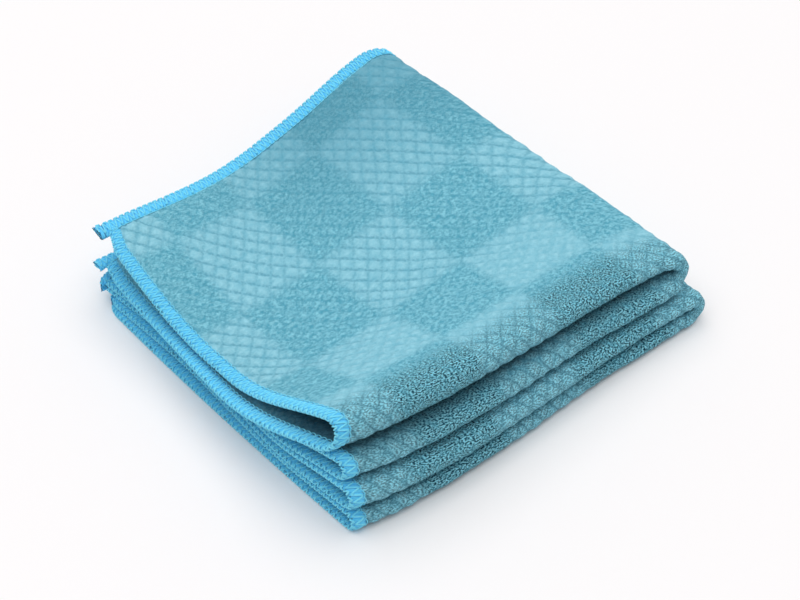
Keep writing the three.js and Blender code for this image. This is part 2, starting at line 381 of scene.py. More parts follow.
# Meshes
def make_piece(name, flat, faces, uvs, material):
    """Mesh of a piece on the open towel, in metres, with one pattern coordinate per face corner."""
    mesh = bpy.data.meshes.new(name)
    mesh.from_pydata((flat * MM).tolist(), [], faces)
    for layer_name, values in uvs.items():
        layer = mesh.uv_layers.new(name=layer_name)
        layer.data.foreach_set("uv", values.astype(np.float32).ravel())
    mesh.polygons.foreach_set("use_smooth", np.ones(len(mesh.polygons), dtype=bool))
    mesh.materials.append(material)
    piece = bpy.data.objects.new(name, mesh)
    bpy.context.scene.collection.objects.link(piece)
    return piece


def fold_piece(piece, towel):
    """Carries every vertex of a flat piece through the folds; the lowest lie flat on the floor."""
    count = len(piece.data.vertices)
    flat = np.empty(count * 3)
    piece.data.vertices.foreach_get("co", flat)
    places = folded(towel, flat.reshape(-1, 3) / MM)
    places[:, 2] = np.maximum(places[:, 2], 0)
    piece.data.vertices.foreach_set("co", places.ravel())
    piece.data.update()


def bend_with_crease(piece):
    """Bakes the piece's place into its mesh while it lies open."""
    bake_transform(piece)


def line_distance(value, pitch):
    """Distance to the nearest of a row of lines."""
    share = value / pitch - np.floor(value / pitch)
    return (0.5 - np.abs(share - 0.5)) * pitch


def drawn(s, v):
    """Place on the even pattern of a point of the cloth as it is drawn out and gathered."""
    even_s = s * (DRAWN_S + DRAWN_S_EASING * np.abs(s))
    even_v = DRAWN_V * v + GATHERED_LENGTH * np.tanh((v - GATHERED_AT) / GATHERED_RUN)
    return even_s, even_v


def pile_share(even_s, even_v):
    """0 on the smooth quilted squares, 1 on the squares of looped pile."""
    column = np.floor((even_s - SQUARE_START_S) / SQUARE_S)
    row = np.floor((even_v - SQUARE_START_V) / SQUARE_V)
    return (column + row) % 2


def surface_height(s, v):
    """How far the quilted face stands out from the plain cloth."""
    even_s, even_v = drawn(s, v)
    diagonal = math.sqrt(0.5)
    groove = np.minimum(
        line_distance((even_s + even_v) * diagonal, QUILT_CELL),
        line_distance((even_s - even_v) * diagonal, QUILT_CELL),
    )
    puff = ease(groove / PUFF_RUN)
    pile = pile_share(even_s, even_v)
    lumps = unevenness(s, v, **LARGE_LUMPS) + unevenness(s, v, **SMALL_LUMPS)
    quilted = QUILTED_PUFF * puff - QUILTED_SINK + QUILTED_LUMPS * lumps
    looped = LOOPED_PUFF * puff - LOOPED_SINK + lumps
    return mix(quilted, looped, pile)


def has_tails(towel_name, s):
    """Whether the back edgings run out past the corners on this side of the second fold."""
    return np.where(np.asarray(s) > 0, *TAILS[towel_name]) > 0


def round_corners(towel_name, s, v):
    """Rounds the corners of the towel that have no tails."""
    radius = np.where(np.asarray(s) > 0, *CORNER_RADIUS[towel_name])
    a = np.maximum(0, np.abs(s) - HALF_SIDE + radius) / radius
    b = np.maximum(0, np.abs(v) - HALF_SIDE + radius) / radius
    cut_s = a * (1 - np.sqrt(1 - b * b / 2)) * radius
    cut_v = b * (1 - np.sqrt(1 - a * a / 2)) * radius
    is_round = np.where(has_tails(towel_name, s), 0, 1)
    return s - np.sign(s) * cut_s * is_round, v - np.sign(v) * cut_v * is_round


def edge_inset(towel_name, side, v):
    """How far the left edge is drawn in: midway, and at ends that the tails run out past."""
    most = np.where(v > 0, OUTER_CORNER_INSET, INNER_CORNER_INSET)
    at_ends = most * ease((np.abs(v) - CORNER_INSET_START) / CORNER_INSET_RUN)
    at_ends = np.where(has_tails(towel_name, side), at_ends, 0)
    outer = np.where(side > 0, *OUTER_DRAWN_IN[towel_name])
    inner = np.where(side > 0, *INNER_DRAWN_IN[towel_name])
    midway = np.where(v > 0, outer, inner)
    return at_ends + midway * ease(1 - np.abs(np.abs(v) - DRAWN_IN_MOST) / DRAWN_IN_REACH)


def back_inset(towel_name, s, v):
    """How far the uppermost back edge is drawn in."""
    is_uppermost = (towel_name == "top") & (np.asarray(v) > 0)
    most = np.where(is_uppermost, BACK_DRAWN_IN, 0.0)
    return most * ease(1 - np.abs(s - BACK_DRAWN_IN_MOST) / BACK_DRAWN_IN_REACH)


def ripple(s, v):
    """Slow unevenness of the whole cloth."""
    return unevenness(s, v, **LARGE_RIPPLES) + unevenness(s, v, **SMALL_RIPPLES)


def stations(spans):
    """Grid lines from a list of spans, each with its start, its end and its step."""
    values = [spans[0][0]]
    for start, end, step in spans:
        count = max(1, int(round((end - start) / step)))
        values.extend(np.linspace(start, end, count + 1)[1:])
    while (len(values) - 1) % FINE_PER_COARSE:
        values.insert(1, (values[0] + values[1]) / 2)
    return np.array(values)


def grid_faces(columns, rows, first, flip):
    index = first + np.arange(columns * rows).reshape(columns, rows)
    a, b = index[:-1, :-1].ravel(), index[1:, :-1].ravel()
    c, d = index[1:, 1:].ravel(), index[:-1, 1:].ravel()
    quads = np.stack([a, d, c, b] if flip else [a, b, c, d], -1)
    return quads.tolist(), index


def rim_faces(fine, coarse, flip):
    """Joins a fine border to a coarse one that has only some of its points."""
    faces = []
    for step in range(len(coarse) - 1):
        start = FINE_PER_COARSE * step
        for part in range(FINE_PER_COARSE):
            faces.append([coarse[step], fine[start + part], fine[start + part + 1]])
        faces.append([coarse[step], fine[start + FINE_PER_COARSE], coarse[step + 1]])
    return [face[::-1] for face in faces] if flip else faces


def make_cloth(towel_name, s_lines, v_lines, material):
    """The cloth of one towel: a fine quilted outer face and a plainer inner face, joined at the rim."""
    def side(s_values, v_values, facing):
        s, v = (grid.ravel() for grid in np.meshgrid(s_values, v_values, indexing="ij"))
        inside = HALF_SIDE - HEM_WIDTH + UNDER_HEM - np.maximum(np.abs(s), np.abs(v))
        rise = ease(inside / PILE_RISE)
        thickness = mix(CLOTH_EDGE_THICKNESS, LAYER_THICKNESS, rise) / 2
        n = facing * thickness + rise * ripple(s, v)
        if facing > 0:
            n = n + rise * surface_height(s, v)
        near_edge = ease(1 - (CLOTH_EDGE - np.abs(s)) / INSET_CLOTH_RUN)
        drawn_s = s - np.sign(s) * near_edge * edge_inset(towel_name, s, v)
        near_back = ease(1 - (CLOTH_EDGE - np.abs(v)) / INSET_CLOTH_RUN)
        drawn_v = v - np.sign(v) * near_back * back_inset(towel_name, s, v)
        return np.stack([*round_corners(towel_name, drawn_s, drawn_v), n], -1)

    outer = side(s_lines, v_lines, 1)
    inner_s = s_lines[::FINE_PER_COARSE]
    inner_v = v_lines[::FINE_PER_COARSE]
    inner = side(inner_s, inner_v, -1)
    outer_faces, fine = grid_faces(len(s_lines), len(v_lines), 0, True)
    inner_faces, coarse = grid_faces(len(inner_s), len(inner_v), len(outer), False)
    rim = rim_faces(fine[0, :], coarse[0, :], False)
    rim += rim_faces(fine[-1, :], coarse[-1, :], True)
    rim += rim_faces(fine[:, 0], coarse[:, 0], True)
    rim += rim_faces(fine[:, -1], coarse[:, -1], False)
    flat = np.concatenate([outer, inner])

    unit = flat[:, :2] / (2 * HALF_SIDE) + 0.5
    large = unit * OUTER_FACE_SHARE
    small = unit * INNER_FACE_SHARE + INNER_FACE_CORNER
    corners = [np.array(faces).ravel() for faces in (outer_faces, inner_faces, rim)]
    baked = np.concatenate([large[corners[0]], small[corners[1]], large[corners[2]]])
    even = np.stack(drawn(flat[:, 0], flat[:, 1]), -1)
    places = np.concatenate(corners)
    facing_in = np.repeat((places >= len(outer))[:, None], 2, axis=1)
    uvs = {
        "pattern": even[places] * MM, "flat": flat[places, :2] * MM,
        "facing_in": facing_in, "OFBake": baked,
    }
    faces = outer_faces + inner_faces + rim
    piece = make_piece(f"{towel_name}_towel_cloth", flat, faces, uvs, material)
    bend_with_crease(piece)
    fold_piece(piece, TOWELS[towel_name])
    return piece


def yarn(path, facing, half_width, half_height, sides):
    """Flattened yarn along a path near the cloth, with its length and its way round per face corner."""
    forward = np.gradient(path, axis=0)
    forward /= np.linalg.norm(forward, axis=1, keepdims=True)
    side = np.cross(forward, facing)
    side /= np.linalg.norm(side, axis=1, keepdims=True)
    up = np.cross(side, forward)
    angle = np.arange(sides) * 2 * math.pi / sides
    around = half_width * side[:, None, :] * np.cos(angle)[None, :, None]
    around = around + half_height * up[:, None, :] * np.sin(angle)[None, :, None]
    points = (path[:, None, :] + around).reshape(-1, 3)
    index = np.arange(len(points)).reshape(len(path), sides)
    beside = np.roll(index, -1, axis=1)
    faces = np.stack([index[:-1], beside[:-1], beside[1:], index[1:]], -1).reshape(-1, 4).tolist()
    steps = np.linalg.norm(np.diff(path, axis=0), axis=1)
    ends = np.cumsum(steps)
    girth = math.pi * (half_width + half_height)
    low, high = np.meshgrid(ends - steps, np.arange(sides) * girth / sides, indexing="ij")
    ahead = np.broadcast_to(steps[:, None], low.shape)
    turned = np.full_like(low, girth / sides)
    corner = [(low, high), (low, high + turned), (low + ahead, high + turned), (low + ahead, high)]
    uv = np.stack([np.stack(pair, -1) for pair in corner], -2).reshape(-1, 2)
    caps = [index[0][::-1].tolist(), index[-1].tolist()]
    cap_uv = np.zeros((2 * sides, 2))
    return points, faces + caps, np.concatenate([uv, cap_uv]), ends[-1], girth


def overlock_paths(length):
    """Threads of an overlocked edge: t along it, d in from it, n off the middle of the cloth."""
    count = int(round(length / STITCH_PITCH))
    pitch = length / count
    uneven = np.random.default_rng(STITCH_SEED).normal(0, 1, count + 2)

    def along(steps):
        t = np.linspace(0, length, count * steps + 1)
        return t, 2 * math.pi * t / pitch, np.interp(t / pitch, np.arange(count + 2), uneven)

    up = (0.0, 0.0, 1.0)
    outside = (0.0, -1.0, 0.0)
    wrap = pitch / WRAPS_PER_STITCH
    t, phase, wobble = along(COIL_STEPS * WRAPS_PER_STITCH)
    phase = phase * WRAPS_PER_STITCH
    reach = HEM_WIDTH / 2 - COIL_INSET + COIL_UNEVEN_ACROSS * wobble
    rise = CORE_HALF_HEIGHT + COIL_HALF_HEIGHT - COIL_SUNK
    slanted = t + COIL_UNEVEN_ALONG * wobble + COIL_SLANT * np.cos(phase)
    wound = np.clip(slanted, wrap, length - wrap)
    coil = np.stack([wound, HEM_WIDTH / 2 - reach * np.cos(phase), rise * np.sin(phase)], -1)
    outward = np.stack([np.zeros_like(t), -rise * np.cos(phase), reach * np.sin(phase)], -1)
    threads = [(coil, outward, COIL_HALF_WIDTH, COIL_HALF_HEIGHT, COIL_SIDES)]
    t, phase, wobble = along(LOOPER_STEPS)
    swing = np.sin(phase)
    d = LOOPER_INSET + LOOPER_REACH * swing ** 2
    looper = np.stack([t + LOOPER_UNEVEN * wobble, d, LOOPER_RISE * swing], -1)
    threads.append((looper, outside, LOOPER_RADIUS, LOOPER_RADIUS, LOOPER_SIDES))
    zigzag = 2 / math.pi * np.arcsin(np.sin(phase + ZIGZAG_UNEVEN * wobble))
    for facing in (1, -1):
        d = HEM_WIDTH / 2 + (HEM_WIDTH / 2 - ZIGZAG_INSET) * zigzag
        bulge = rise * np.sqrt(1 - (ZIGZAG_SINK * zigzag) ** 2)
        looped = np.stack([t, d, facing * (bulge + COIL_HALF_HEIGHT)], -1)
        threads.append((looped, up, ZIGZAG_RADIUS, ZIGZAG_RADIUS, ZIGZAG_SIDES))
    inside = (t > NEEDLE_FROM_END) & (t < length - NEEDLE_FROM_END)
    arch = np.abs(np.sin(phase / 2))
    for facing in (1, -1):
        d = HEM_WIDTH - NEEDLE_INSET + NEEDLE_ARCH_ACROSS * arch
        n = facing * (NEEDLE_RISE + NEEDLE_ARCH_RISE * arch)
        needle = np.stack([t, d, n], -1)[inside]
        threads.append((needle, up, NEEDLE_RADIUS, NEEDLE_RADIUS, NEEDLE_SIDES))
    core_t = np.linspace(0, length, int(length / CORE_STEP) + 1)
    middle = np.full_like(core_t, HEM_WIDTH / 2)
    core = np.stack([core_t, middle, np.zeros_like(core_t)], -1)
    threads.append((core, up, HEM_WIDTH / 2 - CORE_INSET, CORE_HALF_HEIGHT, CORE_SIDES))
    return threads


def tail_width(towel_name, s):
    """How much wider than elsewhere a back edging is near its tail, where its threads spread."""
    upper_tail, lower_tail = TAILS[towel_name]
    from_end = HALF_SIDE + np.where(s > 0, upper_tail, lower_tail) - np.abs(s)
    share = mix(TAIL_WIDTH_SHARE, 1.0, ease(from_end / TAIL_TAPER))
    return np.where(has_tails(towel_name, s), share, 1.0)


def make_edging(name, towel_name, length, place, material, nodes, body=None):
    """One side's edging. place turns t, d, n along a straight edge into s, v, n on the open towel."""
    points, faces, yarn_uvs, baked = [], [], [], []
    first = 0
    shelf = 0.0
    threads = overlock_paths(length)
    for path, facing, half_width, half_height, sides in threads:
        thread_points, thread_faces, uv, run, girth = yarn(path, facing, half_width, half_height, sides)
        faces += [[first + corner for corner in face] for face in thread_faces]
        first += len(thread_points)
        points.append(thread_points)
        shift = 0.0
        if path is threads[0][0]:
            shift = COIL_UV_SHIFT
        # The core's coordinates are shifted so that its painted shade can be told from the threads
        if path is threads[-1][0]:
            shift = CORE_UV_SHIFT
        yarn_uvs.append(uv + (0, shift))
        # On the baked sheet a thread lies in rows of one length, under the thread before
        quads = uv[:-2 * sides].reshape(-1, 4, 2)
        row = np.floor(quads[:, :, 0].min(axis=1, keepdims=True) / BAKE_ROW)
        across_row = quads[:, :, 0] - row * BAKE_ROW
        down = shelf + row * (girth + BAKE_GAP) + quads[:, :, 1]
        baked.append(np.stack([across_row, down], -1).reshape(-1, 2))
        baked.append(np.zeros((2 * sides, 2)))
        shelf += math.ceil(run / BAKE_ROW) * (girth + BAKE_GAP)
    sheet_size = np.array([BAKE_SHEET_WIDTH, shelf])
    uvs = {"yarn": np.concatenate(yarn_uvs) * MM, "OFBake": np.concatenate(baked) / sheet_size}
    piece = make_piece(name, place(np.concatenate(points)), faces, uvs, material)
    if body is None:
        bend_with_crease(piece)
    fold_piece(piece, TOWELS[towel_name])
    if body is not None:
        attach(piece, body)
    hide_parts(*nodes)
    return piece


# Materials
class Nodes:
    """Short names for the node calls that the two materials use."""

    def __init__(self, name):
        self.material = bpy.data.materials.new(name)
        self.material.use_nodes = True
        self.tree = self.material.node_tree
        self.shader = self.tree.nodes["Principled BSDF"]

    def add(self, kind, **settings):
        node = self.tree.nodes.new(kind)
        for key, value in settings.items():
            setattr(node, key, value)
        return node

    def link(self, source, target):
        self.tree.links.new(source, target)

    def put(self, value, socket):
        """Sets a number or a colour on a socket, or links another node's result to it."""
        if isinstance(value, (int, float)):
            socket.default_value = value
        elif isinstance(value, tuple):
            socket.default_value = (*value, 1)
        else:
            self.link(value, socket)

    def math(self, operation, *values):
        node = self.add("ShaderNodeMath", operation=operation)
        for socket, value in zip(node.inputs, values):
            self.put(value, socket)
        return node.outputs[0]

    def times(self, first, second):
        return self.math("MULTIPLY", first, second)

    def flip(self, share):
        return self.math("SUBTRACT", 1.0, share)

    def raised(self, share, least):
        """A share that runs from a least value to 1 instead of from 0."""
        return self.math("MULTIPLY_ADD", share, 1 - least, least)

    def total(self, values, shares):
        """Sum of those values that have a share, each times its share."""
        result = 0.0
        for name, share in shares.items():
            result = self.math("MULTIPLY_ADD", values[name], share, result)
        return result

    def ramp(self, value, low, high):
        node = self.add("ShaderNodeMapRange", interpolation_type="SMOOTHSTEP")
        self.link(value, node.inputs["Value"])
        node.inputs["From Min"].default_value = low
        node.inputs["From Max"].default_value = high
        return node.outputs["Result"]

    def noise(self, vector, scale, detail=2.0):
        node = self.add("ShaderNodeTexNoise")
        self.link(vector, node.inputs["Vector"])
        node.inputs["Scale"].default_value = scale
        node.inputs["Detail"].default_value = detail
        return node.outputs["Fac"]

    def wander(self, vector, scale, reach, detail=2.0):
        """Noise round 0 instead of round a half."""
        return self.times(self.math("SUBTRACT", self.noise(vector, scale, detail), 0.5), reach)

    def blend(self, share, first, second):
        node = self.add("ShaderNodeMix", data_type="RGBA")
        for name, value in (("Factor", share), ("A", first), ("B", second)):
            self.put(value, node.inputs[name])
        return node.outputs["Result"]

    def coordinates(self, layer_name):
        """A piece's own coordinates in millimetres, together and as X and Y."""
        source = self.add("ShaderNodeUVMap", uv_map=layer_name)
        scaled = self.add("ShaderNodeVectorMath", operation="SCALE")
        self.link(source.outputs["UV"], scaled.inputs[0])
        scaled.inputs["Scale"].default_value = 1 / MM
        split = self.add("ShaderNodeSeparateXYZ")
        self.link(scaled.outputs[0], split.inputs[0])
        return scaled.outputs[0], split.outputs["X"], split.outputs["Y"]

    def stretched(self, vector, shares):
        node = self.add("ShaderNodeVectorMath", operation="MULTIPLY")
        self.link(vector, node.inputs[0])
        node.inputs[1].default_value = shares
        return node.outputs[0]

    def bump(self, height, strength, distance):
        node = self.add("ShaderNodeBump")
        node.inputs["Strength"].default_value = strength
        node.inputs["Distance"].default_value = distance * MM
        self.link(height, node.inputs["Height"])
        self.link(node.outputs["Normal"], self.shader.inputs["Normal"])

    def set_finish(self, finish):
        for name, value in finish.items():
            self.shader.inputs[name].default_value = value


def linear(red, green, blue):
    """Scene colour of a colour written as on a screen, 0 to 255."""
    def channel(value):
        share = value / 255
        return share / 12.92 if share <= 0.04045 else ((share + 0.055) / 1.055) ** 2.4
    return channel(red), channel(green), channel(blue)


SMOOTH_COLOUR = linear(157, 217, 234)
SMOOTH_DARK_AND_PAINTED_SHADE_COLOUR = linear(132, 199, 218)
# Dark quilting lines; also the painted shade toward the back right of the top face
GROOVE_AND_PAINTED_SHADE_COLOUR = linear(84, 153, 177)
PILE_COLOUR = linear(147, 220, 239)
PILE_SHADE_COLOUR = linear(90, 175, 201)
# Bright loops and dark gaps of the pile on the first fold: partly the open pile, partly painted
# highlight and painted shade. The dark one is also the painted shade of the creases, of the insides of
# the folds and of the opened seams.
OPEN_LOOP_AND_PAINTED_LIGHT_COLOUR = linear(148, 228, 247)
OPEN_GAP_AND_PAINTED_SHADE_COLOUR = linear(0, 52, 73)
EDGING_COLOUR = linear(136, 234, 255)
EDGING_SHADE_COLOUR = linear(104, 216, 255)
EDGING_COIL_COLOUR = linear(108, 216, 255)
EDGING_COIL_SHADE_COLOUR = linear(76, 188, 242)
# The core between the threads is painted dark: painted shade between the threads
EDGING_CORE_PAINTED_SHADE_COLOUR = linear(28, 106, 158)

# Looks of the cloth. Lengths are millimetres, scales are swings of a noise in a millimetre, and pairs
# are the values between which a look eases in or out. The pile stands open on the first fold, where it
# is painted with bright loops and dark gaps, partly the open pile and partly painted highlight and
# shade. The quilting is smoothed out behind that.
FRAYED = dict(scale=0.7, reach=3.6, detail=3.0)
LARGE_LINE_WANDER = dict(scale=0.5, reach=1.6)
SMALL_LINE_WANDER = dict(scale=1.5, reach=1.1)
# The lines of one diagonal are painted fainter than the other's: painted shade by the way light falls
# across them
WEAK_LINE_DEPTH = 0.62
WEAK_LINE_RAMP = (0.05, 0.8)
STRONG_LINE_RAMP = (0.1, 1.0)
LINE_FADING_SCALE = 0.9
LINE_FADING_RAMP = (0.35, 0.62)
LINE_FADING_LEAST = 0.35
NEAR_FOLD_RAMP = (9.0, 20.0)
NEAR_FOLD_LINES = 0.5
OPEN_AND_PAINTED_ON_SMOOTH = 0.62
SMOOTHED_RAMP = (32.0, 56.0)
SMOOTHED_LINES = 0.15
LOOP_ROW = 1.35
LOOP_LENGTH = 1.8
LOOP_DETAIL = 3.0
DASH_ROW = 0.36
DASH_LENGTH = 0.8
DASH_DETAIL = 4.0
DASH_RAMP = (0.43, 0.57)
DASHES_IN_FLUFF = 0.16
FLUFF_RAMP = (0.38, 0.74)
PUFF_RAMP = (0.1, 2.0)
# The smooth squares vary with the fluff, and are painted lighter in the middle of each puff and darker
# toward its lines: painted shade of the puffs
QUILTED_FLUFF_AND_PAINTED_SHADE = dict(puff=0.4, fluff=0.6)
GROOVE_ON_SMOOTH = 0.7
GROOVE_ON_PILE = 0.6
# Near the first fold the quilting seams open and are painted darker, partly painted shade
SEAM_RAMP = (0.05, 0.55)
SEAM_SHADE = 0.28
MOTTLE_SCALE = 0.28
MOTTLE_RAMP = (0.45, 0.7)
MOTTLE_SHADE = 0.25
# Painted shade: where the creases, the inside faces of the folds and the back right of the top face are
# darkened, and how much
TOP_FACE_RAMP_S = (-4.0, 4.0)
TOP_FACE_RAMP_V = (-1.0, 1.0)
CREASE_RISE = (0.5, 7.0)
CREASE_FALL = (20.0, 45.0)
CREASE_SHADE = 0.5
INSIDE_FALL = (60.0, 150.0)
INSIDE_SHADE = 0.55
BACK_RISE = (70.0, 150.0)
RIGHT_FALL = (45.0, 125.0)
BACK_RIGHT_SHADE = 0.6
SMOOTH_BUMP = dict(puff=0.5, fluff=0.2)
LOOPED_BUMP = dict(puff=0.3, fluff=0.35, dashes=0.25)
CLOTH_BUMP_STRENGTH = 0.7
CLOTH_BUMP_HEIGHT = 0.8
CLOTH_FINISH = {
    "Roughness": 0.92, "Specular IOR Level": 0.08, "Sheen Weight": 0.05, "Sheen Roughness": 0.5,
}

# Looks of the edging thread, whose strands lie along it
STRAND_STRETCH = (0.35, 2.2, 1.0)
STRAND_SCALE = 1.6
STRAND_DETAIL = 3.0
STRAND_RAMP = (0.3, 0.62)
EDGING_BUMP_STRENGTH = 0.35
EDGING_BUMP_HEIGHT = 0.25
EDGING_FINISH = {"Roughness": 0.75, "Specular IOR Level": 0.25, "Sheen Weight": 0.2}


def pile_squares(nodes, even, s, v):
    """1 on the squares of looped pile and 0 on the smooth ones, with frayed borders."""
    frayed = nodes.wander(even, **FRAYED)

    def side(value, start, size):
        moved = nodes.math("ADD", nodes.math("SUBTRACT", value, start), frayed)
        wave = nodes.math("SINE", nodes.times(moved, math.pi / size))
        steep = nodes.times(wave, size / (math.pi * SQUARE_SOFTNESS))
        return nodes.math("MAXIMUM", nodes.math("MINIMUM", steep, 1.0), -1.0)

    both = nodes.times(side(s, SQUARE_START_S, SQUARE_S), side(v, SQUARE_START_V, SQUARE_V))
    return nodes.math("MULTIPLY_ADD", both, -0.5, 0.5)


def quilting_lines(nodes, even, s, v):
    """Distance to the nearest quilting line, and how deep the lines look, 0 to 1. The lines of one
    diagonal are painted darker than those of the other: painted shade of light that falls across them.
    """
    def distance(value):
        share = nodes.math("FRACT", nodes.math("DIVIDE", value, QUILT_CELL * math.sqrt(2)))
        middle = nodes.math("ABSOLUTE", nodes.math("SUBTRACT", share, 0.5))
        return nodes.times(nodes.math("SUBTRACT", 0.5, middle), QUILT_CELL)

    large = nodes.wander(even, **LARGE_LINE_WANDER)
    small = nodes.wander(even, **SMALL_LINE_WANDER)
    uneven = nodes.math("ADD", large, small)
    weak = distance(nodes.math("ADD", nodes.math("ADD", s, v), uneven))
    strong = distance(nodes.math("ADD", nodes.math("SUBTRACT", s, v), uneven))
    weak_depth = nodes.times(nodes.flip(nodes.ramp(weak, *WEAK_LINE_RAMP)), WEAK_LINE_DEPTH)
    strong_depth = nodes.flip(nodes.ramp(strong, *STRONG_LINE_RAMP))
    return nodes.math("MINIMUM", weak, strong), nodes.math("MAXIMUM", weak_depth, strong_depth)


def with_painted_shade(nodes, cloth, flat_s, flat_v, away_from_fold):
    """Colour of the cloth with painted shade: darker in the creases, inside the folds and toward the
    back right of the top face.
    """
    top_face = nodes.times(nodes.ramp(flat_s, *TOP_FACE_RAMP_S), nodes.ramp(flat_v, *TOP_FACE_RAMP_V))
    # Painted shade in the creases of the folds, but not on the top face
    crease_rise = nodes.ramp(away_from_fold, *CREASE_RISE)
    crease_painted_shade = nodes.math("SUBTRACT", crease_rise, nodes.ramp(away_from_fold, *CREASE_FALL))
    crease_painted_shade = nodes.times(crease_painted_shade, nodes.flip(top_face))
    cloth = nodes.blend(nodes.times(crease_painted_shade, CREASE_SHADE), cloth, OPEN_GAP_AND_PAINTED_SHADE_COLOUR)
    # Painted shade on the inside faces of the folds, near the first fold
    inside = nodes.add("ShaderNodeSeparateXYZ")
    nodes.link(nodes.add("ShaderNodeUVMap", uv_map="facing_in").outputs["UV"], inside.inputs[0])
    inside_painted_shade = nodes.times(nodes.flip(nodes.ramp(away_from_fold, *INSIDE_FALL)), INSIDE_SHADE)
    cloth = nodes.blend(nodes.times(inside_painted_shade, inside.outputs["X"]), cloth, OPEN_GAP_AND_PAINTED_SHADE_COLOUR)
    # Painted shade toward the back right of the top face
    right = nodes.flip(nodes.ramp(flat_s, *RIGHT_FALL))
    back_right_painted_shade = nodes.times(nodes.ramp(flat_v, *BACK_RISE), nodes.times(top_face, right))
    return nodes.blend(nodes.times(back_right_painted_shade, BACK_RIGHT_SHADE), cloth, GROOVE_AND_PAINTED_SHADE_COLOUR)


def cloth_material():
    nodes = Nodes("microfibre_cloth")
    even, s, v = nodes.coordinates("pattern")
    flat, flat_s, flat_v = nodes.coordinates("flat")
    away_from_fold = nodes.math("ABSOLUTE", flat_v)
    pile = pile_squares(nodes, even, s, v)
    to_line, groove = quilting_lines(nodes, even, s, v)

    fading = nodes.ramp(nodes.noise(even, LINE_FADING_SCALE), *LINE_FADING_RAMP)
    near_first_fold = nodes.flip(nodes.ramp(away_from_fold, *NEAR_FOLD_RAMP))
    pressed = nodes.ramp(away_from_fold, *SMOOTHED_RAMP)
    pressed = nodes.math("MAXIMUM", pressed, nodes.times(near_first_fold, NEAR_FOLD_LINES))
    strength = nodes.raised(fading, LINE_FADING_LEAST)
    strength = nodes.times(strength, nodes.raised(pressed, SMOOTHED_LINES))
    groove = nodes.times(groove, strength)

    loop_place = nodes.stretched(flat, (1 / LOOP_LENGTH, 1 / LOOP_ROW, 0.0))
    dash_place = nodes.stretched(flat, (1 / DASH_LENGTH, 1 / DASH_ROW, 0.0))
    tufts = nodes.noise(loop_place, 1.0, LOOP_DETAIL)
    dashes = nodes.ramp(nodes.noise(dash_place, 1.0, DASH_DETAIL), *DASH_RAMP)
    fluff = nodes.ramp(nodes.math("MULTIPLY_ADD", dashes, DASHES_IN_FLUFF, tufts), *FLUFF_RAMP)
    nap = dict(puff=nodes.ramp(to_line, *PUFF_RAMP), fluff=fluff, dashes=dashes)

    # Near the first fold the pile is painted with bright loops and dark gaps: partly the open pile,
    # partly painted highlight and shade of light grazing the fold
    open_pile_and_painted_light = nodes.blend(dashes, OPEN_GAP_AND_PAINTED_SHADE_COLOUR, OPEN_LOOP_AND_PAINTED_LIGHT_COLOUR)
    # Painted shade of the puffs, darker toward the quilting lines, together with the fluff's own tone
    smooth = nodes.blend(nodes.total(nap, QUILTED_FLUFF_AND_PAINTED_SHADE), SMOOTH_DARK_AND_PAINTED_SHADE_COLOUR, SMOOTH_COLOUR)
    open_and_painted_on_smooth = nodes.times(nodes.times(near_first_fold, near_first_fold), OPEN_AND_PAINTED_ON_SMOOTH)
    smooth = nodes.blend(open_and_painted_on_smooth, smooth, open_pile_and_painted_light)
    smooth = nodes.blend(nodes.times(groove, GROOVE_ON_SMOOTH), smooth, GROOVE_AND_PAINTED_SHADE_COLOUR)
    # Near the first fold the quilting seams are painted darker: partly the opened seam, partly painted
    # shade
    seam = nodes.times(nodes.flip(nodes.ramp(to_line, *SEAM_RAMP)), near_first_fold)
    smooth = nodes.blend(nodes.times(seam, SEAM_SHADE), smooth, OPEN_GAP_AND_PAINTED_SHADE_COLOUR)
    looped = nodes.blend(fluff, PILE_SHADE_COLOUR, PILE_COLOUR)
    looped = nodes.blend(near_first_fold, looped, open_pile_and_painted_light)
    looped = nodes.blend(nodes.times(groove, GROOVE_ON_PILE), looped, PILE_SHADE_COLOUR)
    cloth = nodes.blend(pile, smooth, looped)
    cloth = with_painted_shade(nodes, cloth, flat_s, flat_v, away_from_fold)
    mottle = nodes.ramp(nodes.noise(flat, MOTTLE_SCALE), *MOTTLE_RAMP)
    cloth = nodes.blend(nodes.times(mottle, MOTTLE_SHADE), cloth, PILE_SHADE_COLOUR)
    nodes.link(cloth, nodes.shader.inputs["Base Color"])

    smooth_height = nodes.total(nap, SMOOTH_BUMP)
    difference = nodes.math("SUBTRACT", nodes.total(nap, LOOPED_BUMP), smooth_height)
    height = nodes.math("MULTIPLY_ADD", difference, pile, smooth_height)
    nodes.bump(height, CLOTH_BUMP_STRENGTH, CLOTH_BUMP_HEIGHT)
    nodes.set_finish(CLOTH_FINISH)
    return nodes.material


def edging_material():
    nodes = Nodes("edging_thread")
    place, _, around = nodes.coordinates("yarn")
    strands = nodes.noise(nodes.stretched(place, STRAND_STRETCH), STRAND_SCALE, STRAND_DETAIL)
    shade = nodes.flip(nodes.ramp(strands, *STRAND_RAMP))
    thread = nodes.blend(shade, EDGING_COLOUR, EDGING_SHADE_COLOUR)
    coil = nodes.blend(shade, EDGING_COIL_COLOUR, EDGING_COIL_SHADE_COLOUR)
    thread = nodes.blend(nodes.math("GREATER_THAN", around, COIL_UV_SHIFT / 2), thread, coil)
    # Painted shade: the core between the threads is coloured dark
    in_core = nodes.math("GREATER_THAN", around, CORE_UV_SHIFT / 2)
    nodes.link(nodes.blend(in_core, thread, EDGING_CORE_PAINTED_SHADE_COLOUR), nodes.shader.inputs["Base Color"])
    nodes.bump(strands, EDGING_BUMP_STRENGTH, EDGING_BUMP_HEIGHT)
    nodes.set_finish(EDGING_FINISH)
    return nodes.material


